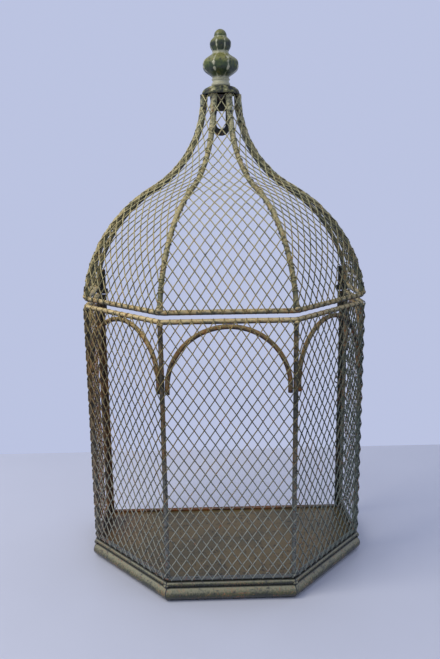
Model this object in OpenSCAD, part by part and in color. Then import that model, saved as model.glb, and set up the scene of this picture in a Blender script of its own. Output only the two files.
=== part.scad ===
// Half-octagon wire cloche: a mesh cage on a moulded base, open at the back,
// with an onion-shaped mesh dome that is hinged to it at the two rear corners.
// Origin: on the ground, midway between the side panels and midway front to back.
// +X runs to the right, +Y to the open back and +Z up.

/* [Plan] */
// Length of the front panel between its two posts
front_w = 150; // [130:1:170]
// Width of the cage between the side panels
cage_w = 344; // [320:1:380]
// Depth of the side corners behind the front panel
side_back = 105; // [95:1:115]
// Depth of the cage from the front panel to the open back
cage_d = 197; // [185:1:210]

/* [Heights] */
// Height of the rail that the mesh stands on
foot_rail_z = 27.3; // [27.3:0.1:30]
// Height of the ring that closes the cage
body_ring_z = 338.7; // [320:0.1:360]
// Height of the dome's ring above the cage's ring
ring_step = 10.3; // [9.5:0.1:12]
// Height of the upper ends of the dome's ribs
neck_z = 597; // [580:1:620]

/* [Rods] */
// Diameter of the rings, arches and ribs
rod_d = 6; // [5:0.1:6.5]
// Diameter of the upright posts
post_d = 5.6; // [5:0.1:6]
// Diameter of the rail at the foot of the mesh
foot_rail_d = 4.8; // [4:0.1:4.8]
// Bend radius of a ring at a corner
ring_bend = 11; // [8:0.5:16]
// Bend radius of the foot rail at a corner
rail_bend = 7; // [5:0.5:10]

/* [Dome] */
// Distance of the dome's axis in front of the open back
axis_fwd = 15; // [10:1:20]
// Size of the neck as a share of the size of the ring
neck_share = 0.125; // [0.11:0.005:0.14]
// Inward lean of a rib where it leaves the ring, in degrees
foot_lean = 6; // [0:1:8]
// Share of a rib's height at which it turns from bulging to hollow
turn_share = 0.53; // [0.5:0.01:0.56]

/* [Arches] */
// Height of the lower ends of the arches
arch_foot_z = 256; // [240:1:262]

/* [Mesh] */
// Thickness of the mesh wire
wire = 1.6; // [1.2:0.1:2]
// Width of one diamond of the mesh
cell_w = 12; // [10:0.5:20]
// Height of one diamond of the mesh
cell_h = 18; // [14:0.5:30]

/* [Base] */
// Radius of the large roll along the base
roll_r = 9.2; // [8.5:0.1:9.4]
// Radius of the small bead above it
bead_r = 3; // [2.6:0.1:3.2]
// Height of the floor's upper face
floor_z = 15; // [14:0.5:16]
// Thickness of the floor
floor_t = 2; // [1.5:0.1:3]
// Height of the bar across the back of the floor
back_bar_z = 17.3; // [16:0.1:20]

/* [Hinges] */
// Radius of a hinge pin
pin_r = 2; // [1.5:0.1:2.2]
// Running clearance between a pin and its knuckle
pin_play = 0.06; // [0.03:0.01:0.1]
// Outer radius of a knuckle
knuckle_r = 4; // [3.6:0.1:4]
// Length of one knuckle
knuckle_l = 5.5; // [4:0.5:6]
// Thickness of a hinge leaf
leaf_t = 2; // [1.5:0.1:2.5]
// Height of the lower end of the leaf on a rear post
low_leaf_z = 3; // [2:1:300]
// Height of the leaf on a rear rib above the pin
high_leaf_l = 30; // [20:1:34]

/* [Finial] */
// Radius of the large bulb
bulb_r = 22.3; // [21:0.1:24]
// Radius of the small bulb
small_bulb_r = 13.2; // [12:0.1:14]

/* [Hidden] */
$fn = 48;
// How far a block reaches past what it cuts.
over = 30;
PANELS = ["left_side", "left_diagonal", "front", "right_diagonal", "right_side"];
CORNERS = ["rear_left", "side_left", "front_left", "front_right", "side_right", "rear_right"];

rod_r = rod_d / 2;
post_r = post_d / 2;
// How far a welded rod bites into the one it stands on.
weld = 0.3;
// How much thicker a rod is round a bend, and how far its straight run reaches into the bend.
swell = 0.06;
lap = 0.4;
// The same reach where two arcs meet, in degrees.
arc_lap = 0.1;
// The base stands this far proud of the front posts' axes.
base_out = 7.5;
// The origin is midway between the front of the base and the backs of the hinges.
rear_y = (cage_d + base_out - rod_r - 2 * knuckle_r) / 2;
front_y = rear_y - cage_d;
dome_ring_z = body_ring_z + ring_step;
axis_y = rear_y - axis_fwd;
axis_pt = [0, axis_y];
corner_pts = [
  [-cage_w / 2, rear_y], [-cage_w / 2, front_y + side_back], [-front_w / 2, front_y],
  [front_w / 2, front_y], [cage_w / 2, front_y + side_back], [cage_w / 2, rear_y]
];
// Rods, rails and mouldings all finish flush with the backs of the rear rods.
back_face_y = rear_y + rod_r;
mesh_out = rod_r + wire / 2;
// The dome's panels stand a little further out, clear of the ribs' own curve.
dome_mesh_out = mesh_out + 1;
hinge_y = back_face_y + knuckle_r;
hinge_z = body_ring_z + ring_step / 2;
// A hinge stands mostly on the inner side of its post.
hinge_x = cage_w / 2 - 5.4;

iron = [0.42, 0.42, 0.34];
gold = [0.62, 0.55, 0.36];
mesh_grey = [0.48, 0.48, 0.40];
stone = [0.46, 0.46, 0.40];
rust = [0.36, 0.24, 0.15];
dark = [0.16, 0.15, 0.14];

// ---- plan helpers: edge i runs from corner i to corner i + 1, seen anticlockwise ----
function edge_dir(i) = (corner_pts[i + 1] - corner_pts[i]) / norm(corner_pts[i + 1] - corner_pts[i]);
function edge_out(i) = [edge_dir(i).y, -edge_dir(i).x];
function edge_len(i) = norm(corner_pts[i + 1] - corner_pts[i]);
function edge_turn(i) = atan2(edge_dir(i).y, edge_dir(i).x);
// Corner i moved out by u, so that offset edges still meet; the ends reach the back face.
function corner_at(i, u) =
  i == 0 ? [corner_pts[0].x - u, back_face_y] :
  i == 5 ? [corner_pts[5].x + u, back_face_y] :
  let (a = edge_out(i - 1), b = edge_out(i)) corner_pts[i] + u * (a + b) / (1 + a * b);

// Puts its child, drawn along +X with the outside at -Y, on edge i.
module on_edge(i) {
  translate(corner_pts[i]) rotate(edge_turn(i)) children();
}
// The strip of ground between two offsets of edge i, mitred at its corners.
module mitre_block(i, u_in, u_out, z, h) {
  translate([0, 0, z]) linear_extrude(h)
    polygon([corner_at(i, u_in), corner_at(i, u_out), corner_at(i + 1, u_out), corner_at(i + 1, u_in)]);
}
// Sweeps a child profile, drawn with X outwards and Y up, along edge i.
module sweep_edge(i, past) {
  on_edge(i) translate([-past, 0, 0]) rotate([90, 0, 90])
    linear_extrude(edge_len(i) + 2 * past) mirror([1, 0]) children();
}
// Upright rod of radius r.
module upright(r, z0, z1) {
  translate([0, 0, z0]) cylinder(r = r, h = z1 - z0);
}
// One rod bent round the four front corners at height z, a hair thicker round each bend.
module bent_rail(r, bend, z) {
  translate([0, 0, z]) for (i = [0:4]) {
    cut_a = i == 0 ? back_face_y - rear_y : lap - bend_cut(i, bend);
    cut_b = i == 4 ? back_face_y - rear_y : lap - bend_cut(i + 1, bend);
    on_edge(i) {
      translate([-cut_a, 0, 0]) rotate([0, 90, 0]) cylinder(r = r, h = edge_len(i) + cut_a + cut_b);
      if (i > 0) {
        turn = edge_turn(i) - edge_turn(i - 1);
        translate([bend_cut(i, bend), bend, 0])
          rotate_extrude(angle = turn, start = -90 - turn) translate([bend, 0]) circle(r + swell);
      }
    }
  }
}
function bend_cut(i, bend) = bend * tan((edge_turn(i) - edge_turn(i - 1)) / 2);

// ---- dome curve: a bulging arc that turns into a hollow arc ----
dome_rise = neck_z - dome_ring_z;
lean_ref = cage_w / 2;
function foot_angle(r) = atan(tan(foot_lean) * r / lean_ref);
function run_at(r, steep) = dome_rise
  * (turn_share * tan((foot_angle(r) + steep) / 2) + (1 - turn_share) * tan(steep / 2));
// The steepest lean of a curve that starts r from the axis, found by halving.
function steepest(r, lo = 20, hi = 88, n = 30) =
  n == 0 ? (lo + hi) / 2 :
  run_at(r, (lo + hi) / 2) < r * (1 - neck_share) ? steepest(r, (lo + hi) / 2, hi, n - 1)
                                                 : steepest(r, lo, (lo + hi) / 2, n - 1);
// [foot lean, steepest lean, bulge radius, bulge centre, hollow radius, hollow centre]
function ogee(r) =
  let (a = foot_angle(r), s = steepest(r),
       bulge = dome_rise * turn_share / (sin(s) - sin(a)),
       hollow = dome_rise * (1 - turn_share) / sin(s))
  [a, s, bulge, [r - bulge * cos(a), dome_ring_z - bulge * sin(a)],
   hollow, [r * neck_share + hollow, neck_z]];
function ogee_lean(o, d) = let (rise = (o[1] - o[0]) * o[2] * PI / 180)
  d < rise ? o[0] + d / o[2] * 180 / PI : o[1] - (d - rise) / o[4] * 180 / PI;
function ogee_point(o, d) = let (rise = (o[1] - o[0]) * o[2] * PI / 180, t = ogee_lean(o, d))
  d < rise ? o[3] + o[2] * [cos(t), sin(t)] : o[5] - o[4] * [cos(t), sin(t)];
function ogee_length(o) = ((o[1] - o[0]) * o[2] + o[1] * o[4]) * PI / 180;
// The same curve moved outwards by u.
function ogee_out(o, u) = [o[0], o[1], o[2] + u, o[3], o[4] - u, o[5]];

// ---- mesh helpers ----
function clipped(poly, n, c) = [
  for (i = [0:1:len(poly) - 1])
    let (p = poly[i], q = poly[(i + 1) % len(poly)], a = n * p - c, b = n * q - c)
    each concat(a <= 0 ? [p] : [], a * b < 0 ? [p + (q - p) * a / (a - b)] : [])
];
function area(poly) = len(poly) < 3 ? 0 : abs([for (i = [0:1:len(poly) - 1])
  let (p = poly[i], q = poly[(i + 1) % len(poly)]) p.x * q.y - p.y * q.x]
  * [for (p = poly) 1]) / 2;
// Half width and half height of the hole in one diamond.
wire_over = wire * norm([cell_w, cell_h]) / 2;
hole_x = cell_w / 2 - wire_over / cell_h;
hole_y = cell_h / 2 - wire_over / cell_w;
smallest_hole = 4;
module hole(poly) {
  if (area(poly) > smallest_hole) polygon(poly);
}
function diamond(x, y) = [[x - hole_x, y], [x, y - hole_y], [x + hole_x, y], [x, y + hole_y]];
// A flat rectangle of mesh with a border of one wire.
module flat_mesh(w, h) {
  x_end = w / 2 - wire;
  difference() {
    translate([-w / 2, 0]) square([w, h]);
    for (j = [0:ceil(2 * h / cell_h)])
      for (i = [-ceil(w / cell_w / 2):ceil(w / cell_w / 2)]) {
        cell = diamond((i + (j % 2) / 2) * cell_w, j * cell_h / 2);
        hole(clipped(clipped(clipped(clipped(cell, [1, 0], x_end), [-1, 0], x_end),
          [0, 1], h - wire), [0, -1], -wire));
      }
  }
}

// ---- base: a core on the posts' axes, a ledge inside it for the floor, a roll and a bead outside ----
ledge_in = 9;
core_in = 4;
core_out = 2;
bead_x = 1.9;
base_top = foot_rail_z - foot_rail_d / 2;
module base_profile() {
  translate([-core_in, 0]) square([core_in + core_out, base_top]);
  translate([-ledge_in, 0]) square([ledge_in - core_in, floor_z - floor_t]);
  intersection() {
    translate([base_out - roll_r, roll_r]) circle(roll_r);
    translate([-core_out, 0]) square([2 * roll_r, 2 * roll_r]);
  }
  translate([bead_x, base_top - bead_r]) circle(bead_r);
}
module base_side(i) {
  color(stone) intersection() {
    sweep_edge(i, over) base_profile();
    mitre_block(i, -ledge_in - 1, base_out + 1, 0, base_top);
  }
}
module floor_plate() {
  color(rust) translate([0, 0, floor_z - floor_t]) linear_extrude(floor_t)
    polygon(concat([[corner_at(0, -core_in).x, back_bar_y]],
      [for (i = [1:4]) corner_at(i, -core_in)],
      [[corner_at(5, -core_in).x, back_bar_y]]));
}
back_bar_y = back_face_y - rod_d;
module back_bar() {
  color(rust) translate([-cage_w / 2 + ledge_in, back_bar_y, 0])
    cube([cage_w - 2 * ledge_in, rod_d, back_bar_z]);
}

// ---- cage frame ----
module foot_rail() {
  color(iron) bent_rail(foot_rail_d / 2, rail_bend, foot_rail_z);
}
module body_ring() {
  color(gold) bent_rail(rod_r, ring_bend, body_ring_z);
}
module post(i) {
  color(iron) translate(corner_pts[i])
    upright(post_r, foot_rail_z + foot_rail_d / 2 - weld, body_ring_z - rod_r + weld);
}
// A round-topped tube between two posts, open at its cut ends.
tube_bore_r = 1.9;
tube_bore_l = 8;
module arch(i) {
  gap = post_r + rod_r + 0.1;
  reach = edge_len(i) / 2 - gap;
  spring_z = body_ring_z - rod_d - 0.2 - reach;
  color(iron) on_edge(i) translate([edge_len(i) / 2, 0, 0]) difference() {
    union() {
      translate([0, 0, spring_z]) rotate([90, 0, 0])
        rotate_extrude(angle = 180) translate([reach, 0]) circle(rod_r);
      for (s = [-1, 1]) translate([s * reach, 0, 0]) upright(rod_r, arch_foot_z, spring_z);
    }
    for (s = [-1, 1]) translate([s * reach, 0, 0])
      upright(tube_bore_r, arch_foot_z - 1, arch_foot_z + tube_bore_l);
  }
}
module cage_mesh(i) {
  height = body_ring_z - foot_rail_z;
  color(mesh_grey) intersection() {
    on_edge(i) translate([edge_len(i) / 2, -mesh_out, foot_rail_z]) rotate([90, 0, 0])
      translate([0, 0, -wire / 2]) linear_extrude(wire)
        translate([panel_shift(i), 0]) flat_mesh(panel_width(i), height);
    mitre_block(i, mesh_out - wire, mesh_out + wire, foot_rail_z - 1, height + 2);
  }
}
// The mesh panel reaches its mitred corners, and the back face at an open end.
function panel_ends(i) = let (a = corner_at(i, mesh_out) - corner_pts[i],
  b = corner_at(i + 1, mesh_out) - corner_pts[i + 1])
  [a * edge_dir(i), b * edge_dir(i)];
function panel_width(i) = edge_len(i) + panel_ends(i)[1] - panel_ends(i)[0] - 0.6;
function panel_shift(i) = (panel_ends(i)[0] + panel_ends(i)[1]) / 2;
// A small wire eye on the inner side of the right rear post.
eye_r = 4.6;
eye_bite = 0.05;
eye_z = 211;
eye_wire_r = 0.9;
module catch_eye() {
  color(dark) translate([cage_w / 2 - post_r - eye_r - eye_wire_r + eye_bite, rear_y, eye_z])
    rotate([90, 0, 0]) rotate_extrude(angle = 300, start = -150)
      translate([eye_r, 0]) circle(eye_wire_r);
}

// ---- hinges: side is -1 on the left and 1 on the right ----
module knuckle(x) {
  translate([x, hinge_y, hinge_z]) rotate([0, 90, 0]) difference() {
    cylinder(r = knuckle_r, h = knuckle_l);
    translate([0, 0, -1]) cylinder(r = pin_r + pin_play, h = knuckle_l + 2);
  }
}
leaf_gap = 0.5;
leaf_w = 2 * knuckle_l + leaf_gap;
// A leaf as wide as both knuckles, which starts clear of the other leaf's knuckle.
module leaf(side, z0, z1) {
  translate([side * hinge_x - leaf_w / 2, hinge_y - knuckle_r, z0]) cube([leaf_w, leaf_t, z1 - z0]);
}
// The strip that joins a leaf to its own knuckle.
module tongue(x, z0, z1) {
  difference() {
    translate([x, hinge_y - knuckle_r, z0]) cube([knuckle_l, leaf_t, z1 - z0]);
    translate([x - 1, hinge_y, hinge_z]) rotate([0, 90, 0])
      cylinder(r = pin_r + pin_play, h = knuckle_l + 2);
  }
}
// The lower knuckle is outside and the upper one inside, on both hinges.
function knuckle_x(side, outer) =
  side * hinge_x + ((side > 0) == outer ? leaf_gap / 2 : -leaf_gap / 2 - knuckle_l);
// The lower leaf is as long as the upper one, and a narrower strap runs from it down the post.
strap_w = 8.5;
module low_hinge(side) {
  x = knuckle_x(side, true);
  top = hinge_z - knuckle_r - leaf_gap;
  strap_x = side * (hinge_x + leaf_w / 2) - (side > 0 ? strap_w : 0);
  color(dark) union() {
    knuckle(x);
    tongue(x, top - leaf_gap, hinge_z);
    leaf(side, hinge_z - high_leaf_l, top);
    translate([strap_x, hinge_y - knuckle_r, low_leaf_z]) cube([strap_w, leaf_t, top - low_leaf_z]);
  }
}
module high_hinge(side) {
  x = knuckle_x(side, false);
  foot = hinge_z + knuckle_r + leaf_gap;
  color(dark) union() {
    knuckle(x);
    tongue(x, hinge_z, foot + leaf_gap);
    leaf(side, foot, hinge_z + high_leaf_l);
  }
}
head_r = 3.2;
head_l = 1.6;
module hinge_pin(side) {
  reach = knuckle_l + leaf_gap / 2 + 0.3;
  color(dark) translate([side * hinge_x, hinge_y, hinge_z]) rotate([0, 90, 0]) {
    translate([0, 0, -reach]) cylinder(r = pin_r, h = 2 * reach);
    for (end = [-reach - head_l, reach]) translate([0, 0, end]) cylinder(r = head_r, h = head_l);
  }
}

// ---- dome ----
module dome_ring() {
  color(gold) bent_rail(rod_r, ring_bend, dome_ring_z);
}
module rib(i) {
  from_axis = corner_pts[i] - axis_pt;
  o = ogee(norm(from_axis));
  foot = asin((dome_ring_z + rod_r - weld - o[3].y) / o[2]);
  color(gold) translate(axis_pt)
    rotate([0, 0, atan2(from_axis.y, from_axis.x)]) rotate([90, 0, 0]) {
      translate(o[3]) rotate_extrude(angle = o[1] - foot, start = foot)
        translate([o[2], 0]) circle(rod_r + swell);
      translate(o[5]) rotate_extrude(angle = o[1] + arc_lap, start = 180)
        translate([o[4], 0]) circle(rod_r);
    }
}
// A curved panel of mesh outside the ribs, cut along the two rib planes.
function panel_near(i) = (corner_pts[i] - axis_pt) * edge_out(i);
function panel_from(i) = (corner_pts[i] - axis_pt) * edge_dir(i);
function panel_to(i) = (corner_pts[i + 1] - axis_pt) * edge_dir(i);
seam = 0.5;
edge_wire = wire + seam;
// Overlap of the two arcs of a panel, in degrees.
join = 0.05;
module arc_band(r, t, a0, a1) {
  far = 3 * r;
  intersection() {
    difference() {
      circle(r + t / 2, $fn = 180);
      circle(r - t / 2, $fn = 180);
    }
    polygon([[0, 0], far * [cos(a0), sin(a0)], far * [cos((a0 + a1) / 2), sin((a0 + a1) / 2)],
      far * [cos(a1), sin(a1)]]);
  }
}
module dome_mesh(i) {
  near = panel_near(i);
  o = ogee_out(ogee(near), dome_mesh_out);
  ends = [panel_from(i), panel_to(i)];
  total = ogee_length(o);
  step = cell_h / 2;
  first = floor(min(ends[0], 0) / cell_w) - 1;
  last = ceil(max(ends[1], 0) / cell_w) + 1;
  color(mesh_grey) translate(axis_pt) rotate(edge_turn(i)) difference() {
    intersection() {
      rotate([90, 0, 90]) translate([0, 0, ends[0] - over])
        linear_extrude(ends[1] - ends[0] + 2 * over) mirror([1, 0]) {
          translate(o[3]) arc_band(o[2], wire, o[0], o[1] + join);
          translate(o[5]) arc_band(o[4], wire, 180, 180 + o[1]);
        }
      translate([0, 0, dome_ring_z - over]) linear_extrude(dome_rise + 2 * over)
        offset_wedge(ends, near, seam);
    }
    for (j = [0:ceil(total / step)]) {
      d = j * step;
      t = ogee_lean(o, d);
      p = ogee_point(o, d);
      // Share of the ring's size at this height, and how fast it shrinks along the curve.
      share = (p.x - dome_mesh_out * cos(t)) / near;
      fall = sin(t) / near;
      for (k = [first:last]) {
        x = (k + (j % 2) / 2) * cell_w;
        cell = diamond(0, 0);
        right = clipped(cell, [1, ends[1] * fall], ends[1] * share - x - edge_wire);
        left = clipped(right, [-1, -ends[0] * fall], -ends[0] * share + x - edge_wire);
        low = clipped(left, [0, -1], d - wire);
        poly = clipped(low, [0, 1], total - d - wire);
        if (area(poly) > smallest_hole)
          translate([x, -p.x, p.y]) rotate([90 - t, 0, 0])
            translate([0, 0, -3 * wire]) linear_extrude(6 * wire) polygon(poly);
      }
    }
  }
}
// The wedge between two rib planes, in a panel's own frame, set in by a seam.
module offset_wedge(ends, near, inset) {
  outer = 1.2;
  inner = 0.06;
  polygon([[ends[0] * outer + inset, -near * outer], [ends[1] * outer - inset, -near * outer],
    [ends[1] * inner - inset, -near * inner], [ends[0] * inner + inset, -near * inner]]);
}

// ---- neck and finial ----
stud_r = 3;
nut_r = 5.6;
nut_h = 5;
plate_r = 19.5;
plate_t = 3;
cap_r = 22.5;
cap_wall = 2;
cap_top_z = neck_z + 11.4;
neck_y = axis_y - 10.5;
fit_gap = 0.05;
// How far the stud reaches into the finial.
stud_in = 18;
module at_neck(z) {
  translate([0, neck_y, z]) children();
}
module stud_hole(z0, z1) {
  translate([0, 0, z0]) cylinder(r = stud_r + fit_gap, h = z1 - z0);
}
module neck_plate() {
  color(dark) at_neck(neck_z) difference() {
    cylinder(r = plate_r, h = plate_t);
    stud_hole(-1, plate_t + 1);
  }
}
// Outline of the cap: an upright rim under a dome that flattens towards the finial.
module cap_outline(r, top, rise) {
  square([r, rise]);
  intersection() {
    translate([0, rise]) square([r, top - rise]);
    translate([r - (top - rise), rise]) circle(top - rise);
  }
  translate([0, rise]) square([r - (top - rise), top - rise]);
}
module neck_cap() {
  cap_h = cap_top_z - neck_z;
  color(iron) at_neck(neck_z) difference() {
    rotate_extrude() difference() {
      cap_outline(cap_r, cap_h, 3);
      cap_outline(cap_r - cap_wall, cap_h - cap_wall, 3);
    }
    stud_hole(-1, cap_h + 1);
  }
}
module finial() {
  bead = 4.6;
  bulb = 15.8;
  small_bulb = 9.3;
  tip = 7.5;
  bulb_z = 25.7;
  small_z = 49.9;
  tip_z = 59.4;
  color(iron) at_neck(cap_top_z) difference() {
    rotate_extrude() intersection() {
      square([40, tip_z + 20]);
      union() {
        square([bead + 3, 2 * bead]);
        translate([12.1 - bead, bead]) circle(bead);
        square([9.4, small_z]);
        translate([bulb_r - bulb, bulb_z]) circle(bulb);
        translate([small_bulb_r - small_bulb, small_z]) circle(small_bulb);
        translate([0, tip_z]) circle(tip);
      }
    }
    stud_hole(-1, stud_in + 1);
  }
}
module finial_stud() {
  below = nut_h + 3;
  color(dark) at_neck(neck_z - below) cylinder(r = stud_r, h = below + cap_top_z - neck_z + stud_in);
}
module finial_nut() {
  color(dark) at_neck(neck_z - nut_h) difference() {
    cylinder(r = nut_r, h = nut_h, $fn = 6);
    stud_hole(-1, nut_h + 1);
  }
}
// A flat iron eye under the neck plate, by which the dome is lifted or hung.
hanger_w = 24.6;
hanger_l = 49.5;
hanger_t = 3;
hanger_back = 8.5;
slot_r = 6;
slot_z = 14.5;
slot_l = 16;
module hanging_eye() {
  color(dark) translate([0, neck_y + hanger_back + hanger_t, neck_z - hanger_l]) rotate([90, 0, 0])
    linear_extrude(hanger_t) difference() {
      union() {
        translate([0, hanger_w / 2]) circle(hanger_w / 2);
        translate([-hanger_w / 2, hanger_w / 2]) square([hanger_w, hanger_l - hanger_w / 2]);
      }
      translate([0, slot_z]) circle(slot_r);
      translate([-slot_r, slot_z]) square([2 * slot_r, slot_l]);
    }
}

floor_plate();
back_bar();
foot_rail();
body_ring();
for (i = [0:4]) {
  base_side(i);
  arch(i);
  cage_mesh(i);
  dome_mesh(i);
}
for (i = [0:5]) {
  post(i);
  rib(i);
}
catch_eye();
low_hinge(-1);  // low_hinge_left
low_hinge(1);  // low_hinge_right
hinge_pin(-1);  // hinge_pin_left
hinge_pin(1);  // hinge_pin_right
dome_ring();
high_hinge(-1);  // high_hinge_left
high_hinge(1);  // high_hinge_right
neck_plate();
neck_cap();
hanging_eye();
finial();
finial_stud();
finial_nut();
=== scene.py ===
import math

import bpy
from mathutils import Matrix, Vector
from mathutils.noise import noise


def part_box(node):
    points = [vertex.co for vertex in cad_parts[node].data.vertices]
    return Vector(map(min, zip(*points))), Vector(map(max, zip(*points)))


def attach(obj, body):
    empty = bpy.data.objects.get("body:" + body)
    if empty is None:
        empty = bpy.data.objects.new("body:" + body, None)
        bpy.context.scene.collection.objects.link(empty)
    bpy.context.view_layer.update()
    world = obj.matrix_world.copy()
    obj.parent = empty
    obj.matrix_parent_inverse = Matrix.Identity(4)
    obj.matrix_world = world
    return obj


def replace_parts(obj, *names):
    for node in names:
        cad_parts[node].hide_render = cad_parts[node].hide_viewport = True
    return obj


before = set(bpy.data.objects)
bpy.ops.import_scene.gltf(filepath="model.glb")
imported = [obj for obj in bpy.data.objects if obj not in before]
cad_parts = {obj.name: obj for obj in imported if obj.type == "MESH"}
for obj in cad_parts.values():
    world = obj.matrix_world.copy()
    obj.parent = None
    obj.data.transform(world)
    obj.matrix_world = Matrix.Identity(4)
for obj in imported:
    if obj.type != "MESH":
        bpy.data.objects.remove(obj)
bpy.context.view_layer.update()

MM = 0.001
UP = Vector((0, 0, 1))
PANELS = ["left_side", "left_diagonal", "front", "right_diagonal", "right_side"]
CORNERS = ["rear_left", "side_left", "front_left", "front_right", "side_right", "rear_right"]

# ---------------------------------------------------------------- camera and light
SENSOR, LENS = 36, 36.47
CAMERA_AT = (-0.0281, -0.81695, 0.4819)
LOOK_DOWN, LOOK_RIGHT, TILT = 12.0, 1.5, 0.7
NEAREST, FARTHEST = 0.02, 20
SKY = (0.50, 0.55, 0.755)
MIDDLE = (0, 0, 0.3)

scene = bpy.context.scene
scene.view_settings.view_transform = "Standard"
scene.view_settings.look = "None"
camera = bpy.data.objects.new("camera", bpy.data.cameras.new("camera"))
scene.collection.objects.link(camera)
scene.camera = camera
camera.data.sensor_width = SENSOR
camera.data.lens = LENS
camera.location = CAMERA_AT
camera.rotation_euler = (
    Matrix.Rotation(math.radians(-LOOK_RIGHT), 3, "Z")
    @ Matrix.Rotation(math.radians(90 - LOOK_DOWN), 3, "X")
    @ Matrix.Rotation(math.radians(-TILT), 3, "Z")
).to_euler()
camera.data.clip_start = NEAREST
camera.data.clip_end = FARTHEST

world = bpy.data.worlds.new("studio")
world.use_nodes = True
world.node_tree.nodes["Background"].inputs["Color"].default_value = (*SKY, 1)
world.node_tree.nodes["Background"].inputs["Strength"].default_value = 1.0
scene.world = world


def area_light(name, place, target, size, power, colour):
    data = bpy.data.lights.new(name, "AREA")
    data.size = size
    data.energy = power
    data.color = colour
    lamp = bpy.data.objects.new(name, data)
    lamp.location = place
    lamp.rotation_euler = (Vector(target) - Vector(place)).to_track_quat("-Z", "Y").to_euler()
    scene.collection.objects.link(lamp)


area_light("key", place=(-1.25, -0.6, 1.7), target=MIDDLE, size=0.8, power=19, colour=(1.0, 0.95, 0.88))

# ---------------------------------------------------------------- measures
AXIS_FORWARD = 15 * MM  # from the rear posts forward to the axis of the neck
FOOT_LEAN = math.radians(6)  # the dome's lean inwards at its foot, at half the cage's width
TURN_SHARE = 0.53  # the share of the dome's height that bulges, below the share that is hollow
NECK_SHARE = 0.125  # a rib's distance from the axis at the neck, as a share of that at the ring
CELL_W, CELL_H = 12 * MM, 18 * MM
WIRE_R = 0.68 * MM
RING_BEND, RAIL_BEND = 11 * MM, 7 * MM
PATH_STEP = 3 * MM


def centre(node):
    low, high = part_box(node)
    return (low + high) / 2


corner = [Vector((centre("post_" + c).x, centre("post_" + c).y)) for c in CORNERS]
body_z = centre("body_ring").z
dome_z = centre("dome_ring").z
foot_z = centre("foot_rail").z
neck_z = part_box("neck_plate")[0].z
rise = neck_z - dome_z
arch_low, arch_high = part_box("arch_front")
rod_r = (arch_high.y - arch_low.y) / 2
post_low, post_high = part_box("post_front_left")
post_r = (post_high.x - post_low.x) / 2
foot_r = foot_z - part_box("foot_rail")[0].z
mesh_out = corner[2].y - centre("cage_mesh_front").y
back_y = corner[0].y + rod_r
axis = Vector((0, corner[0].y - AXIS_FORWARD))


def edge_dir(i):
    return (corner[i + 1] - corner[i]).normalized()


def edge_out(i):
    d = edge_dir(i)
    return Vector((d.y, -d.x))


# ---------------------------------------------------------------- the dome's curve
class Ogee:
    """The dome's outline where its foot is r from the axis: an arc that bulges, then a hollow one.
    Lean is the angle inwards from upright, and outwards moves the whole curve along its normal."""

    def __init__(self, r, outwards=0.0):
        self.foot_lean = math.atan(math.tan(FOOT_LEAN) * r / corner[5].x)
        low, high = math.radians(20), math.radians(88)
        for _ in range(40):
            lean = (low + high) / 2
            run = rise * (TURN_SHARE * math.tan((self.foot_lean + lean) / 2)
                          + (1 - TURN_SHARE) * math.tan(lean / 2))
            low, high = (lean, high) if run < r * (1 - NECK_SHARE) else (low, lean)
        self.steepest = lean
        bulge = rise * TURN_SHARE / (math.sin(lean) - math.sin(self.foot_lean))
        hollow = rise * (1 - TURN_SHARE) / math.sin(lean)
        self.bulge, self.hollow = bulge + outwards, hollow - outwards
        self.bulge_r = r - bulge * math.cos(self.foot_lean)
        self.bulge_z = dome_z - bulge * math.sin(self.foot_lean)
        self.hollow_r = r * NECK_SHARE + hollow
        self.turn = (self.steepest - self.foot_lean) * self.bulge
        self.length = self.turn + self.steepest * self.hollow

    def at(self, d):
        """Distance from the axis, height and lean at length d along the curve."""
        if d < self.turn:
            t = self.foot_lean + d / self.bulge
            return self.bulge_r + self.bulge * math.cos(t), self.bulge_z + self.bulge * math.sin(t), t
        t = self.steepest - (d - self.turn) / self.hollow
        return self.hollow_r - self.hollow * math.cos(t), neck_z - self.hollow * math.sin(t), t


# ---------------------------------------------------------------- mesh building
def piece(name, verts, faces, body, slot, material, **attributes):
    """A smooth mesh on a body. attributes hold one value per vertex, for the materials to read."""
    mesh = bpy.data.meshes.new(name)
    mesh.from_pydata(verts, [], faces)
    mesh.validate()
    for key, values in attributes.items():
        layer = mesh.attributes.new(key, "FLOAT", "POINT")
        layer.data.foreach_set("value", values)
    mesh.polygons.foreach_set("use_smooth", [True] * len(mesh.polygons))
    mesh.materials.append(material)
    obj = bpy.data.objects.new(name, mesh)
    scene.collection.objects.link(obj)
    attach(obj, body)
    return obj


def tube(path, radius, sides, verts, faces, first_across=None):
    """Adds a closed round tube along path.
    radius is a number, or a function of the point's index and the angle round it."""
    count = len(path)
    tangents = []
    for k in range(count):
        t = path[min(k + 1, count - 1)] - path[max(k - 1, 0)]
        tangents.append(t.normalized())
    across = first_across or tangents[0].orthogonal()
    across = (across - across.dot(tangents[0]) * tangents[0]).normalized()
    start = len(verts)
    for k in range(count):
        t = tangents[k]
        across = (across - across.dot(t) * t).normalized()
        other = t.cross(across)
        for j in range(sides):
            angle = 2 * math.pi * j / sides
            r = radius(k, angle) if callable(radius) else radius
            verts.append(path[k] + r * (math.cos(angle) * across + math.sin(angle) * other))
    for k in range(count - 1):
        for j in range(sides):
            a = start + k * sides + j
            b = start + k * sides + (j + 1) % sides
            faces.append((a, b, b + sides, a + sides))
    faces.append(tuple(start + j for j in reversed(range(sides))))
    faces.append(tuple(start + (count - 1) * sides + j for j in range(sides)))


def wobble(p, scale, size):
    q = p * scale
    return Vector((noise(q), noise(q + Vector((7.1, 0, 0))), noise(q + Vector((0, 5.3, 0))))) * size


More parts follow.
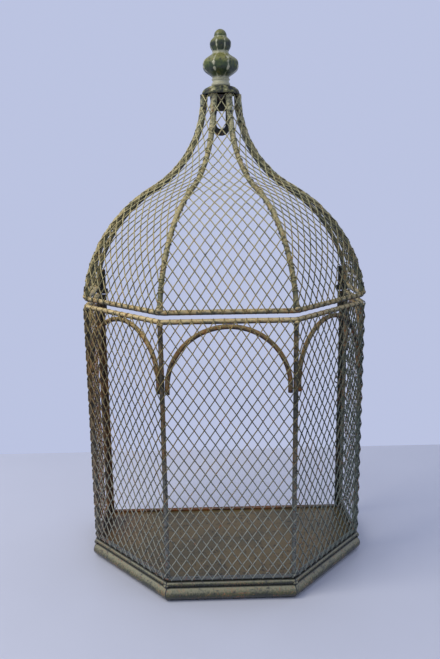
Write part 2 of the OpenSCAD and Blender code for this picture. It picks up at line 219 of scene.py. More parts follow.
DRIFT_SCALE, LUMP_SCALE = 18, 330  # how fast a rod's bends and its coat's lumps change, per metre
FLARE_REACH = 6 * MM
RUNNY, RUNNY_REACH = 0.2, 90 * MM  # how much more uneven the coat is at the neck, and how far down


def rod(name, path, r, body, slot, material, node, lumps=0.06, sides=20, drift=0.22 * MM, flare=0.0):
    """A hand-bent rod in place of a CAD node: a path a little off true, with a lumpy coat of paint.
    flare is how much its foot is spread by hammering. Near the neck the coat is thick and runny, and darkened
    there as a painted shade beneath the cap."""
    verts, faces, soil = [], [], []
    moved = [p + wobble(p, DRIFT_SCALE, drift) for p in path]
    across = (path[1] - path[0]).orthogonal().normalized()

    def radius(k, angle):
        q = moved[k] * LUMP_SCALE + Vector((math.cos(angle), math.sin(angle), 0)) * 0.8
        from_foot = (moved[k] - moved[0]).length / FLARE_REACH
        runny = RUNNY * max(0.0, 1 - (neck_z - moved[k].z) / RUNNY_REACH) if body == "dome" else 0.0
        # Dark spots at random, and darker towards the neck, a painted shade beneath the cap.
        soil.append((0.2 + 8 * runny) * max(0.0, noise(q * 1.9 + UP * 40) + 0.1))
        coat = (lumps + runny) * (noise(q) + 0.5 * noise(q * 2.7)) + 2.6 * runny
        return r * (1 + coat + flare * math.exp(-from_foot ** 2))

    tube(moved, radius, sides, verts, faces, across)
    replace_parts(piece(name, verts, faces, body, slot, material, soil=soil), node)


def line_points(a, b, step):
    n = max(1, round((b - a).length / step))
    return [a.lerp(b, k / n) for k in range(n + 1)]


def ring_path(z, bend):
    """The line of a rod bent round the four front corners, from one open end to the other."""
    def at(p):
        return Vector((p.x, p.y, z))

    bend_steps = 6
    points = []
    cursor = at(Vector((corner[0].x, back_y)))
    for i in range(1, 5):
        before, after = edge_dir(i - 1), edge_dir(i)
        turn = abs(before.angle_signed(after))
        begin = at(corner[i] - before * (bend * math.tan(turn / 2)))
        inner = Vector((-before.y, before.x))
        pivot = begin + at(inner * bend) - at(Vector((0, 0)))
        points += line_points(cursor, begin, PATH_STEP)[:-1]
        for k in range(bend_steps + 1):
            spin = Matrix.Rotation(turn * k / bend_steps, 3, "Z")
            points.append(pivot + spin @ (begin - pivot))
        cursor = points.pop()
    points += line_points(cursor, at(Vector((corner[5].x, back_y))), PATH_STEP)
    return points


# ---------------------------------------------------------------- materials
class Nodes:
    """Short names for building one material's nodes."""

    def __init__(self, name):
        self.material = bpy.data.materials.new(name)
        self.material.use_nodes = True
        self.tree = self.material.node_tree
        self.shader = self.tree.nodes["Principled BSDF"]
        coords = self.tree.nodes.new("ShaderNodeTexCoord")
        self.place, self.facing = coords.outputs["Object"], coords.outputs["Normal"]

    def link(self, a, b):
        if hasattr(a, "is_output"):
            self.tree.links.new(a, b)
        else:
            b.default_value = a

    def node(self, kind, **settings):
        n = self.tree.nodes.new("ShaderNode" + kind)
        for key, value in settings.items():
            setattr(n, key, value)
        return n

    def math(self, operation, a, b=0.0):
        n = self.node("Math", operation=operation)
        self.link(a, n.inputs[0])
        self.link(b, n.inputs[1])
        return n.outputs[0]

    def plus(self, a, b):
        return self.math("ADD", a, b)

    def times(self, a, b):
        return self.math("MULTIPLY", a, b)

    def vector(self, operation, a, b=None):
        n = self.node("VectorMath", operation=operation)
        self.link(a, n.inputs[0])
        if b is not None:
            self.link(b, n.inputs[1])
        return n.outputs["Value" if operation in ("DOT_PRODUCT", "LENGTH") else "Vector"]

    def parts(self, vector):
        n = self.node("SeparateXYZ")
        self.link(vector, n.inputs[0])
        return n.outputs[0], n.outputs[1], n.outputs[2]

    def noise(self, scale, detail, rough=0.6):
        n = self.node("TexNoise")
        self.link(self.place, n.inputs["Vector"])
        n.inputs["Scale"].default_value = scale
        n.inputs["Detail"].default_value = detail
        n.inputs["Roughness"].default_value = rough
        return n.outputs["Fac"]

    def step(self, value, low, high):
        """Smoothly from 0 at low to 1 at high."""
        n = self.node("MapRange", interpolation_type="SMOOTHSTEP")
        self.link(value, n.inputs["Value"])
        n.inputs["From Min"].default_value = low
        n.inputs["From Max"].default_value = high
        return n.outputs["Result"]

    def mix(self, factor, a, b):
        n = self.node("Mix", data_type="RGBA")
        self.link(factor, n.inputs["Factor"])
        for value, socket in ((a, n.inputs["A"]), (b, n.inputs["B"])):
            self.link(value if hasattr(value, "is_output") else (*value, 1), socket)
        return n.outputs["Result"]

    def attribute(self, name):
        return self.node("Attribute", attribute_name=name).outputs["Fac"]

    def bump(self, height, strength, distance):
        n = self.node("Bump")
        self.link(height, n.inputs["Height"])
        n.inputs["Strength"].default_value = strength
        n.inputs["Distance"].default_value = distance
        return n.outputs["Normal"]


def srgb(r, g, b):
    """A colour from the usual 0 to 255 numbers."""
    return tuple((c / 255 / 12.92) if c <= 10 else ((c / 255 + 0.055) / 1.055) ** 2.4 for c in (r, g, b))


RUST = srgb(138, 80, 26)
RUST_DARK = srgb(62, 42, 22)
RUST_PALE = srgb(128, 86, 42)
# A near black, for soot and dark joints, and for painted shade.
SOOT_AND_SHADE = srgb(26, 31, 31)
# A grey-green for the painted shade on the right.
RIGHT_SHADE = srgb(84, 98, 86)
GREY = srgb(112, 120, 118)
SPECK_SCALE, FINE_SCALE, PIT_SCALE = 420.0, 1500.0, 230.0
GROOVE_SHADE_EDGE = 0.9 * MM
MITRE_REACH = 40 * MM
PAINT_RELIEF = 0.6 * MM


def mitre_lines(m, colour):
    """A dark joint where two lengths of moulding meet, at each of the four front corners."""
    for i in range(1, 5):
        along = (edge_dir(i - 1) + edge_dir(i)).normalized()
        off = m.vector("SUBTRACT", m.place, (corner[i].x, corner[i].y, 0.0))
        gap = m.math("ABSOLUTE", m.vector("DOT_PRODUCT", off, (along.x, along.y, 0.0)))
        near = m.step(m.vector("LENGTH", off), MITRE_REACH + 5 * MM, MITRE_REACH)
        colour = m.mix(m.times(near, m.step(gap, 0.9 * MM, 0.4 * MM)), colour, SOOT_AND_SHADE)
    return colour


def old_paint(name, paint, shade, crown, highlight_gain=1.0, rust=0.3, patch=55.0, rough=0.62, bump=0.35,
              rusty_corner=0.0, low_tint=None, high_tint=None, dirt_and_shade=None, shaded_grooves=(), lit_left_gain=0.0,
              pale=None, mitres=False, gloss=0.45, shaded_right=0.0, underside_shade_gain=0.88):
    """Weathered paint on iron: paint and shade in patches, crown as a painted highlight on what faces up,
    painted shade on what faces down, rust in spots.
    rusty_corner is how much the rear left of the object is rusted, low_tint the colour near the ground,
    high_tint a colour and the heights where it begins and is full, dirt the attribute that says where
    soot and painted shade lie, grooves the heights of bands of painted shade, lit_left_gain how much stronger
    the painted highlight is on the left than on the right, pale a colour that lies where the attribute of
    that name is high, mitres whether the corners have a dark joint, shaded_right how much painted shade, a
    grey-green, lies on the right, underside_shade_gain how dark the painted shade on the undersides is."""
    m = Nodes(name)
    px, py, pz = m.parts(m.place)
    nz = m.parts(m.facing)[2]
    patches = m.noise(patch, 6)
    specks = m.noise(SPECK_SCALE, 5, 0.7)
    fine = m.noise(FINE_SCALE, 3)
    colour = m.mix(m.step(patches, 0.40, 0.60), shade, paint)
    if low_tint:
        low = m.step(m.plus(pz, m.times(patches, 0.12)), 0.30, 0.12)
        colour = m.mix(low, colour, low_tint)
    if high_tint:
        tint, begin, end = high_tint
        high = m.step(m.plus(pz, m.times(patches, 0.06)), begin, end)
        colour = m.mix(m.times(high, m.step(specks, 0.35, 0.6)), colour, tint)
    # Painted highlight: the crown colour on what faces up, broken up by specks.
    speck_jitter = m.times(m.math("SUBTRACT", specks, 0.5), 1.6)
    painted_highlight = m.step(m.plus(nz, speck_jitter), -0.05, 0.75)
    # The painted highlight is stronger on the left, where the light falls.
    if lit_left_gain:
        left = m.step(px, 0.16, -0.16)
        painted_highlight = m.times(painted_highlight, m.plus(m.times(left, lit_left_gain), 1 - lit_left_gain))
    colour = m.mix(m.times(painted_highlight, highlight_gain), colour, crown)
    # Painted shade: a grey-green laid over the right side.
    if shaded_right:
        right = m.step(m.plus(px, m.times(patches, 0.08)), 0.05, 0.22)
        colour = m.mix(m.times(right, shaded_right), colour, RIGHT_SHADE)
    # Painted shade: what faces down is darkened towards near black.
    under = m.step(m.plus(nz, m.times(speck_jitter, 0.5)), 0.05, -0.55)
    colour = m.mix(m.times(under, underside_shade_gain), colour, SOOT_AND_SHADE)
    pits = m.step(m.noise(PIT_SCALE, 6, 0.65), 0.47, 0.36)
    colour = m.mix(m.times(pits, 0.7), colour, SOOT_AND_SHADE)
    spots = m.step(m.plus(specks, m.times(patches, 0.45)), 0.90 - rust * 0.25, 0.98 - rust * 0.2)
    colour = m.mix(m.times(spots, 0.8), colour, RUST)
    if rusty_corner:
        side, rear, lower = m.step(px, -0.10, -0.165), m.step(py, -0.03, 0.06), m.step(pz, 0.36, 0.24)
        corner_rust = m.times(m.times(m.times(side, rear), lower), m.step(specks, 0.25, 0.55))
        brown = m.mix(m.step(patches, 0.4, 0.6), RUST_DARK, RUST_PALE)
        colour = m.mix(m.times(corner_rust, rusty_corner), colour, brown)
    # Bands of painted shade at given heights: in each groove of a moulding, and a painted shadow line at its
    # foot.
    for low, high in shaded_grooves:
        band = m.times(m.step(pz, low - GROOVE_SHADE_EDGE, low), m.step(pz, high + GROOVE_SHADE_EDGE, high))
        colour = m.mix(m.times(band, 0.85), colour, SOOT_AND_SHADE)
    if mitres:
        colour = mitre_lines(m, colour)
    # Dark spots and painted shade from a vertex attribute: in the gaps of wire wraps, beneath the cap, low on
    # the finial's big bulb.
    if dirt_and_shade:
        colour = m.mix(m.step(m.attribute(dirt_and_shade), 0.0, 1.0), colour, SOOT_AND_SHADE)
    # A light colour from a vertex attribute: cream on the finial's ridges, and a painted highlight on the
    # cap's raised lumps and shoulder.
    if pale:
        there = m.plus(m.attribute("pale"), m.times(speck_jitter, 0.5))
        colour = m.mix(m.step(there, 0.25, 0.75), colour, pale)
    m.link(colour, m.shader.inputs["Base Color"])
    rusted = m.times(m.plus(spots, pits), 0.2)
    m.link(m.plus(m.times(fine, 0.2), m.plus(rusted, rough - 0.1)), m.shader.inputs["Roughness"])
    height = m.plus(m.times(specks, 0.7), m.times(fine, 0.3))
    m.link(m.bump(height, bump, PAINT_RELIEF), m.shader.inputs["Normal"])
    m.shader.inputs["Specular IOR Level"].default_value = gloss
    return m.material


ring_paint = old_paint(
    "ring_paint", srgb(176, 154, 100), srgb(112, 106, 82), srgb(232, 208, 146), 0.95, rust=0.5, patch=90,
    dirt_and_shade="soil", shaded_right=0.35)
rib_paint = old_paint(
    "rib_paint", srgb(150, 138, 90), srgb(82, 88, 62), srgb(206, 188, 128), 0.85, rust=0.45, patch=60,
    dirt_and_shade="soil", lit_left_gain=0.4, shaded_right=0.45, high_tint=(srgb(186, 184, 142), 0.50, 0.60))
post_paint = old_paint(
    "post_paint", srgb(122, 102, 64), srgb(60, 56, 42), GREY, 0.35, rust=0.5, patch=45,
    rusty_corner=0.95, low_tint=srgb(112, 114, 106), dirt_and_shade="soil", shaded_right=0.6)
arch_paint = old_paint(
    "arch_paint", srgb(128, 102, 58), srgb(64, 54, 36), srgb(206, 176, 110), 0.9, rust=0.6, patch=80,
    dirt_and_shade="soil", shaded_right=0.4)
mesh_paint = old_paint(
    "mesh_paint", srgb(124, 114, 72), srgb(62, 66, 44), srgb(176, 154, 96), 0.5, rust=0.4, patch=38,
    rusty_corner=0.95, low_tint=srgb(146, 152, 140), dirt_and_shade="soil", lit_left_gain=0.7, shaded_right=0.7,
    high_tint=(srgb(176, 158, 98), 0.26, 0.36))
dome_mesh_paint = old_paint(
    "dome_mesh_paint", srgb(160, 144, 88), srgb(84, 86, 54), srgb(214, 198, 136), 0.75, rust=0.35,
    patch=38, dirt_and_shade="soil", lit_left_gain=0.6, shaded_right=0.35, high_tint=(srgb(198, 198, 152), 0.42, 0.54))
# The base: a painted shadow line along its foot and painted shade in each groove of its moulding.
base_paint = old_paint(
    "base_paint", srgb(84, 84, 48), srgb(48, 52, 30), srgb(160, 156, 120), 0.85, rust=0.45, patch=34,
    rough=0.24, bump=0.3, rusty_corner=0.6, lit_left_gain=0.25, mitres=True, gloss=0.7,
    shaded_grooves=((-1 * MM, 1.6 * MM), (17.0 * MM, 19.3 * MM), (24.6 * MM, 25.4 * MM)))
floor_rust = old_paint(
    "floor_rust", srgb(106, 86, 36), srgb(74, 64, 30), srgb(106, 90, 42), 0.3, rust=0.05, patch=16,
    rough=0.42, bump=0.25, rusty_corner=0.7)
bar_rust = old_paint(
    "bar_rust", srgb(116, 70, 34), srgb(66, 46, 28), srgb(124, 86, 48), 0.5, rust=0.6, patch=30,
    rough=0.7, bump=0.5, shaded_right=0.5)
iron_dark = old_paint(
    "iron_dark", srgb(50, 54, 46), srgb(28, 32, 30), srgb(74, 72, 62), 0.35, rust=0.35, patch=80,
    rusty_corner=0.9)
steel = old_paint(
    "bare_steel", srgb(120, 118, 112), srgb(84, 82, 78), srgb(140, 138, 130), 0.4, rust=0.5, patch=80)
cap_paint = old_paint(
    "cap_paint", srgb(104, 104, 62), srgb(46, 54, 38), srgb(122, 124, 80), 0.8, rust=0.3, patch=80,
    dirt_and_shade="soil", pale=srgb(176, 170, 124))
finial_paint = old_paint(
    "finial_paint", srgb(86, 98, 42), srgb(52, 68, 38), srgb(132, 130, 70), 0.85, rust=0.25, patch=130,
    rough=0.32, dirt_and_shade="soil", pale=srgb(176, 174, 142), underside_shade_gain=0.4)


# ---------------------------------------------------------------- rods
RIB_STEPS, ARCH_STEPS = 110, 60
RIB_START = rod_r * 0.8  # how far up its curve a rib begins, just above the ring's own axis
ARCH_GAP = 0.1 * MM


def rib_path(p):
    """From the dome's ring to the neck, in the upright plane through the axis and corner p."""
    curve = Ogee((p - axis).length)
    spoke = (p - axis).normalized()
    path = []
    for k in range(RIB_STEPS + 1):
        r, z, lean = curve.at(RIB_START + (curve.length - RIB_START) * k / RIB_STEPS)
        path.append(Vector((axis.x + spoke.x * r, axis.y + spoke.y * r, z)))
    return path


def arch_path(i, foot, crown):
    """A half circle on two straight legs that stand against panel i's posts."""
    mid = (corner[i] + corner[i + 1]) / 2
    d = edge_dir(i)
    reach = (corner[i + 1] - corner[i]).length / 2 - post_r - rod_r - ARCH_GAP
    spring = crown - rod_r - reach

    def at(x, z):
        return Vector((mid.x + d.x * x, mid.y + d.y * x, z))

    path = line_points(at(-reach, foot), at(-reach, spring), PATH_STEP)[:-1]
    for k in range(ARCH_STEPS + 1):
        turn = math.pi * k / ARCH_STEPS
        path.append(at(-reach * math.cos(turn), spring + reach * math.sin(turn)))
    return path + line_points(at(reach, spring), at(reach, foot), PATH_STEP)[1:]


rod("body_ring_rod", ring_path(body_z, RING_BEND), rod_r, "cage", "ring_paint", ring_paint, "body_ring")
rod("dome_ring_rod", ring_path(dome_z, RING_BEND), rod_r, "dome", "ring_paint", ring_paint, "dome_ring")
rod("foot_rail_rod", ring_path(foot_z, RAIL_BEND), foot_r, "cage", "frame_paint", post_paint, "foot_rail",
    drift=0.08 * MM)
for i, name in enumerate(CORNERS):
    low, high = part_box("post_" + name)
    foot, top = Vector((corner[i].x, corner[i].y, low.z)), Vector((corner[i].x, corner[i].y, high.z))
    rod("post_rod_" + name, line_points(foot, top, PATH_STEP), post_r, "cage", "frame_paint", post_paint,
        "post_" + name)
    rod("rib_rod_" + name, rib_path(corner[i]), rod_r, "dome", "ring_paint", rib_paint, "rib_" + name,
        flare=0.3)
for i, name in enumerate(PANELS):
    low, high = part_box("arch_" + name)
    rod("arch_rod_" + name, arch_path(i, low.z, high.z), rod_r * 0.94, "cage", "frame_paint", arch_paint,
        "arch_" + name, drift=0.12 * MM)


# ---------------------------------------------------------------- welds
def weld(name, place, size, body, slot, material):
    """A lump of weld metal under paint. size is its half-lengths along x, y and z."""
    rows, sides = 12, 18
    verts, faces = [], []
    for k in range(1, rows):
        for j in range(sides):
            up, turn = math.pi * k / rows - math.pi / 2, 2 * math.pi * j / sides
            q = Vector((math.cos(up) * math.cos(turn), math.cos(up) * math.sin(turn), math.sin(up)))
            lump = 1 + 0.22 * noise(q * 1.7 + place * 400)
            verts.append(place + Vector((q.x * size[0], q.y * size[1], q.z * size[2])) * lump)
    for k in range(rows - 2):
        for j in range(sides):
            a, b = k * sides + j, k * sides + (j + 1) % sides
            faces.append((a, b, b + sides, a + sides))
    foot, top = len(verts), len(verts) + 1
    verts += [place - UP * size[2], place + UP * size[2]]
    last = (rows - 2) * sides
    for j in range(sides):
        faces.append((foot, (j + 1) % sides, j))
        faces.append((top, last + j, last + (j + 1) % sides))
    piece(name, verts, faces, body, slot, material)


RIB_WELD = (4.2 * MM, 4.0 * MM, 3.4 * MM)
TOP_WELD = (3.7 * MM, 3.6 * MM, 2.8 * MM)
FOOT_WELD = (3.5 * MM, 3.5 * MM, 2.6 * MM)
BASE_WELD = (3.4 * MM, 3.2 * MM, 2.6 * MM)
BASE_WELD_Z, BASE_WELD_OUT = 19.5 * MM, 3.2 * MM

for i, name in enumerate(CORNERS):
    x, y = corner[i]
    weld("weld_rib_" + name, Vector((x, y, dome_z + 2.6 * MM)), RIB_WELD, "dome", "ring_paint", ring_paint)
    weld("weld_top_" + name, Vector((x, y, body_z - 2.8 * MM)), TOP_WELD, "cage", "ring_paint", ring_paint)
    weld("weld_foot_" + name, Vector((x, y, foot_z + 1.8 * MM)), FOOT_WELD, "cage", "frame_paint", post_paint)
    if 1 <= i <= 4:
        away = Vector((x - axis.x, y, 0)).normalized()
        spot = Vector((x, y, BASE_WELD_Z)) + away * BASE_WELD_OUT
        weld("weld_base_" + name, spot, BASE_WELD, "cage", "base_paint", base_paint)


# ---------------------------------------------------------------- woven wire
LIFT = 0.42 * MM  # how far a wire lies off the sheet's middle where it crosses another
ASTRAY = 0.5 * MM  # how far a crossing may be out of place
WIRE_SIDES = 6
SHORTEST = 0.15 * MM
RIM = 0.1 * MM
WRAP_STEPS = 9


def past_corner(i):
    """How far a panel's sheet reaches past the post of corner i, to meet the next sheet at its mitre."""
    if i in (0, 5):
        return 0.0
    return mesh_out * math.tan(abs(edge_dir(i - 1).angle_signed(edge_dir(i))) / 2)


class Panel:
    """One panel of wire: x runs along its edge, s up its curve, lift outwards from the sheet.
    Its ends are its limits in x at the foot, and shift is where its pattern of diamonds begins."""

    def __init__(self, i, dome):
        self.dome = dome
        self.d, self.n = edge_dir(i), edge_out(i)
        if dome:
            self.near = (corner[i] - axis).dot(self.n)
            self.ends = [(corner[i] - axis).dot(self.d), (corner[i + 1] - axis).dot(self.d)]
            self.curve = Ogee(self.near, mesh_out)
            self.length = self.curve.length
            self.origin = axis
            self.shift = 0.0
        else:
            edge = (corner[i + 1] - corner[i]).length
            self.ends = [-past_corner(i), edge + past_corner(i + 1)]
            self.length = body_z - foot_z
            self.origin = corner[i]
            # The cage is bent from one sheet, so its pattern runs on round the corners.
            before = sum((corner[k + 1] - corner[k]).length + past_corner(k) + past_corner(k + 1)
                         for k in range(i))
            self.shift = -before - past_corner(i)

    def limits(self, s):
        if not self.dome:
            return self.ends
        r, z, lean = self.curve.at(min(max(s, 0), self.length))
        share = (r - mesh_out * math.cos(lean)) / self.near
        return [self.ends[0] * share, self.ends[1] * share]

    def at(self, x, s, lift=0.0):
        if self.dome:
            r, z, lean = self.curve.at(s)
            r, z = r + lift * math.cos(lean), z + lift * math.sin(lean)
        else:
            r, z = mesh_out + lift, foot_z + s
        p = self.origin + self.d * x + self.n * r
        return Vector((p.x, p.y, z))

    def normal(self, s):
        return (self.at(0, s, 1.0) - self.at(0, s, 0.0)).normalized()

    def inside(self, x, s):
        low, high = self.limits(s)
        return 0 <= s <= self.length and low <= x <= high


def edge_point(panel, a, b):
    """Where the step from a, inside the panel, to b, outside it, leaves the panel."""
    for _ in range(18):
        m = ((a[0] + b[0]) / 2, (a[1] + b[1]) / 2)
        a, b = (m, b) if panel.inside(*m) else (a, m)
    return a


def wrap(panel, x, s, side, hug, turn, pitch):
    """Points of a wire's end wound round the rod that the panel's edge lies on."""
    n = panel.normal(min(max(s, 0), panel.length))
    sideways = Vector((panel.d.x, panel.d.y, 0))
    if side in ("top", "foot"):
        away, run = (UP if side == "top" else -UP), sideways
    else:
        away, run = (sideways if side == "right" else -sideways), n.cross(sideways)
    heart = panel.at(x, s) - n * mesh_out
    points = []
    for k in range(1, WRAP_STEPS + 1):
        a = turn * k / WRAP_STEPS
        reach = mesh_out + (hug - mesh_out) * min(1, k / 3)
        points.append(heart + reach * (math.cos(a) * n + math.sin(a) * away) + run * pitch * a)
    return points


# By whether it is on the dome, and which edge it meets: how far from the rod's axis a wire's end lies,
# how far it goes round, in radians, and how dark it is there, a painted shade in the wrap's gaps.
ENDINGS = {
    (True, "foot"): (rod_r - 0.3 * MM, 3.2, 0.15),
    (True, "side"): (rod_r + 0.1 * MM, 2.9, 0.35),
    (True, "top"): (rod_r, 0.0, 0.0),
    (False, "foot"): (foot_r + 0.1 * MM, 1.7, 0.0),
    (False, "side"): (post_r + 0.3 * MM, 3.6, 0.3),
    (False, "top"): (rod_r - 0.3 * MM, 3.0, 0.15),
}


class Weave:
    """The crossings of one panel's wires, numbered by column c and row r."""

    def __init__(self, i, dome):
        self.i = i
        self.panel = Panel(i, dome)
        self.step_x = CELL_W / 2
        self.rows = round(self.panel.length / (CELL_H / 2))
        self.step_s = self.panel.length / self.rows

    def columns(self):
        """The odd columns that wires start from, enough of them to cross all of the panel."""
        shift, ends = self.panel.shift, self.panel.ends
        first = math.floor((min(ends) - shift) / self.step_x) - self.rows - 2
        last = math.ceil((max(ends) - shift) / self.step_x) + self.rows + 2
        return [c for c in range(first, last + 1) if c % 2]

    def spot(self, c, r):
        """A crossing, a little out of place, the same for both of its wires."""
        q = Vector((c * 0.71, r * 0.83, 3.0 if self.panel.dome else 0.0))
        side = 0.0 if r in (0, self.rows) else ASTRAY * noise(q + Vector((0, 0, 9.5)))
        return c * self.step_x + self.panel.shift + ASTRAY * noise(q), r * self.step_s + side

    def ending(self, point):
        """The wrap that ends a wire at this point of the panel's rim, and how dark it is, a painted shade in
        its gaps.
        """
        panel = self.panel
        x, s = point
        low, high = panel.limits(s)
        if s < RIM:
            side = key = "foot"
        elif s > panel.length - RIM:
            side = key = "top"
        else:
            side, key = ("left" if x - low < high - x else "right"), "side"
            open_edge = side == "left" and self.i == 0 or side == "right" and self.i == len(PANELS) - 1
            if not panel.dome and not open_edge:
                return [], 0.0
        hug, turn, dirt_and_shade = ENDINGS[panel.dome, key]
        pitch = 0.5 * MM * noise(Vector((x, s, 0)) * 900)
        return (wrap(panel, x, s, side, hug, turn, pitch) if turn else []), dirt_and_shade

    def runs(self, c0, lean):
        """The stretches inside the panel of the wire that starts at column c0 and leans by lean."""
        panel = self.panel
        runs, run = [], []
        for r in range(-1, self.rows + 2):
            c = c0 + lean * r
            x, s = self.spot(c, r)
            if r in (0, self.rows):
                s = panel.length if r else 0.0
                over = 0.0
            else:
                over = LIFT if (c % 2 == 0) == (lean == 1) else -LIFT
            if panel.inside(x, s):
                if not run and r > 0:
                    run.append((*edge_point(panel, (x, s), self.spot(c - lean, r - 1)), 0.0))
                run.append((x, s, over))
            elif run:
                run.append((*edge_point(panel, run[-1][:2], (x, s)), 0.0))
                runs.append(run)
                run = []
        return [stretch for stretch in runs + [run] if len(stretch) > 1]


def woven(i, dome, body, material, node, name):
    """Builds one panel's wires in place of its CAD sheet."""
    weave = Weave(i, dome)
    verts, faces, soil = [], [], []
    for lean in (1, -1):
        for c0 in weave.columns():
            for run in weave.runs(c0, lean):
                head, head_dirt_and_shade = weave.ending(run[0][:2])
                tail, tail_dirt_and_shade = weave.ending(run[-1][:2])
                path = list(reversed(head)) + [weave.panel.at(*point) for point in run] + tail
                dirt_and_shade = [head_dirt_and_shade] * len(head) + [0.0] * len(run) + [tail_dirt_and_shade] * len(tail)
                kept = [0]
                for k in range(1, len(path)):
                    if (path[k] - path[kept[-1]]).length > SHORTEST:
                        kept.append(k)
                if len(kept) > 2:
                    tube([path[k] for k in kept], WIRE_R, WIRE_SIDES, verts, faces)
                    for k in kept:
                        soil += [dirt_and_shade[k]] * WIRE_SIDES
    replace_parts(piece(name, verts, faces, body, "mesh_wire", material, soil=soil), node)


for i, name in enumerate(PANELS):
    woven(i, False, "cage", mesh_paint, "cage_mesh_" + name, "cage_wire_" + name)
    woven(i, True, "dome", dome_mesh_paint, "dome_mesh_" + name, "dome_wire_" + name)


# ---------------------------------------------------------------- finial and cap
def bell(t, sharp):
    """1 at t = 0, 0 beyond t = 1 either way, with a concave foot."""
    return 0.5 * (1 + math.cos(math.pi * min(1.0, abs(t)) ** sharp))


def lathe(name, node, slot, material, z0, z1, rows, sides, surface):
    """A turned or cast body on its CAD node's own axis.
    surface gives the radius, a paleness, partly a painted highlight, and a darkness, partly painted shade, at
    a height and an angle."""
    mid = centre(node)
    verts, faces, pale, soil = [], [], [], []
    for k in range(rows + 1):
        # Rows crowd towards the ends, where the outline turns in.
        z = z0 + (z1 - z0) * (0.5 - 0.5 * math.cos(math.pi * k / rows))
        for j in range(sides):
            angle = 2 * math.pi * j / sides
            r, light, dark = surface(z, angle)
            verts.append(Vector((mid.x + r * math.sin(angle), mid.y - r * math.cos(angle), z)))
            pale.append(light)
            soil.append(dark)
    for k in range(rows):
        for j in range(sides):
            a, b = k * sides + j, k * sides + (j + 1) % sides
            faces.append((a, b, b + sides, a + sides))
    faces.append(tuple(reversed(range(sides))))
    faces.append(tuple(rows * sides + j for j in range(sides)))
    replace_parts(piece(name, verts, faces, "dome", slot, material, pale=pale, soil=soil), node)


SETTLED = 1.6 * MM  # how much lower the cap's top and the finial are than in the CAD
finial_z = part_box("finial")[0].z - SETTLED
cap_low, cap_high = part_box("neck_cap")[0].z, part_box("neck_cap")[1].z - SETTLED
LOBES = 8

# The outlines, in millimetres. AT and HEIGHT are above the finial's foot, HALF is how far up and down a
# swelling reaches, and the others are radii or what a swelling adds to them.
HEIGHT = 67.8
NECK_R, UPPER_NECK_R, TIP_R = 10.1, 8, 8
BIG_AT, BIG_HALF, BIG_SWELL = 24.8, 15.5, 12.4
SMALL_AT, SMALL_HALF, SMALL_SWELL, SMALL_TOP_SWELL = 50.0, 9.6, 3.2, 5.3
TIP_AT, TIP_HALF = 59, 8.8
CAP_R, CAP_SWELL = 10, 13.4


def bead(h, at, half):
    return math.exp(-((h - at) / half) ** 2)


def finial_surface(z, angle):
    h = (z - finial_z) / MM
    around = Vector((math.sin(angle), math.cos(angle), 0))
    ragged = noise(around * 3 + UP * h * 0.35)
    side = 2 * abs((angle * LOBES / (2 * math.pi)) % 1 - 0.5)
    ridge = math.exp(-((1 - abs(1 - side)) / (0.2 + 0.1 * ragged)) ** 2)
    big, small = bell((h - BIG_AT) / BIG_HALF, 1.5), bell((h - SMALL_AT) / SMALL_HALF, 1.4)
    if h > TIP_AT:
        r = TIP_R * math.sqrt(max(0.002, 1 - ((h - TIP_AT) / TIP_HALF) ** 2))
    elif h > SMALL_AT:
        r = UPPER_NECK_R + SMALL_TOP_SWELL * small
    else:
        r = NECK_R + BIG_SWELL * big + SMALL_SWELL * small
        r += 1.9 * bead(h, 2.0, 2.4) + 1.4 * bead(h, 8.2, 1.4)
    lobed = big + (small if h < TIP_AT else 0)
    r *= 1 + lobed * (0.035 * (1 - side ** 2) + 0.025 * ridge - 0.02) + 0.012 * ragged
    waist = max(0.0, 1 - lobed * 3.0) if h < TIP_AT else 0.0
    light = 0.62 * ridge * min(1, lobed * 3) * (1 + ragged) + 0.62 * waist + 0.4 * bead(h, 3, 3)
    # dark: darker on the small bulb's lobes, painted shade on the lower half of the big bulb and in a crease
    # above the beads, and dark spots at random.
    dark = 0.7 * small * (1 - ridge) * bell((h - 49) / 7, 1) + 0.5 * bell((h - 11.2) / 1.6, 1)
    dark += 0.3 * big * (1 - ridge) * min(1, max(0.0, (24 - h) / 10))
    dark += 0.4 * max(0.0, noise(around * 7 + UP * h))
    return r * MM, light, dark


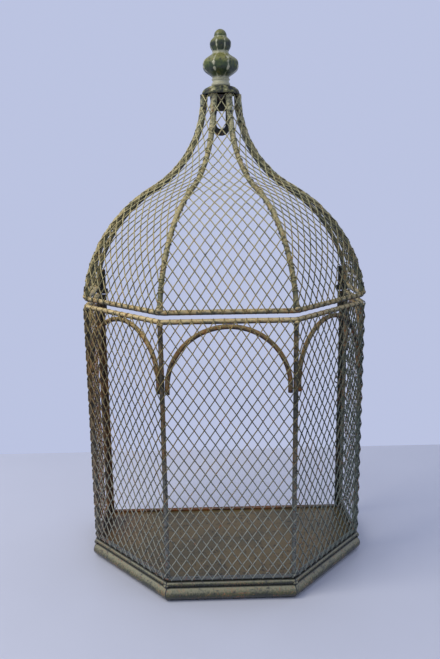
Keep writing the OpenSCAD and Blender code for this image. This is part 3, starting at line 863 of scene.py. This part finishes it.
def cap_surface(z, angle):
    h = (z - cap_low) / (cap_high - cap_low)
    around = Vector((math.sin(angle), math.cos(angle), 0))
    r = CAP_R + CAP_SWELL * math.sqrt(max(0.0, 1 - (max(0.0, h - 0.04) / 0.98) ** 2))
    lumps = noise(around * 3.1 + UP * h * 2) + 0.7 * noise(around * 9 + UP * h * 5)
    # Lighter on the raised lumps and the upper shoulder, a painted highlight; darker between the lumps.
    return (r + 1.1 * lumps) * MM, 0.25 + 0.8 * lumps - 0.5 * abs(h - 0.75), 0.4 - lumps


lathe("finial_cast", "finial", "finial_paint", finial_paint, finial_z, finial_z + HEIGHT * MM, 150, 128,
      finial_surface)
lathe("cap_cast", "neck_cap", "finial_paint", cap_paint, cap_low, cap_high, 24, 96, cap_surface)


# ---------------------------------------------------------------- CAD nodes that keep their shape
finishes = {"floor_plate": floor_rust, "back_bar": bar_rust, "finial_stud": steel, "finial_nut": steel}
finishes.update({"base_" + name: base_paint for name in PANELS})
finishes.update({name: iron_dark for name in ("catch_eye", "neck_plate", "hanging_eye")})
for part in ("low_hinge_", "high_hinge_", "hinge_pin_"):
    finishes.update({part + side: iron_dark for side in ("left", "right")})
for name, material in finishes.items():
    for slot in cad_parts[name].material_slots:
        slot.material = material


# ---------------------------------------------------------------- floor
FLOOR_REACH, FLOOR_BACK = 3, 0.365
FLOOR_DARK, FLOOR_PALE = (0.58, 0.595, 0.64), (0.65, 0.665, 0.71)

floor_mesh = bpy.data.meshes.new("studio_floor")
outline = [(-FLOOR_REACH, -FLOOR_REACH, 0), (FLOOR_REACH, -FLOOR_REACH, 0),
           (FLOOR_REACH, FLOOR_BACK, 0), (-FLOOR_REACH, FLOOR_BACK, 0)]
floor_mesh.from_pydata(outline, [], [(0, 1, 2, 3)])
floor = bpy.data.objects.new("studio_floor", floor_mesh)
scene.collection.objects.link(floor)
paper = Nodes("studio_floor")
paper.link(paper.mix(paper.noise(3.0, 3), FLOOR_DARK, FLOOR_PALE), paper.shader.inputs["Base Color"])
paper.shader.inputs["Roughness"].default_value = 0.6
floor_mesh.materials.append(paper.material)
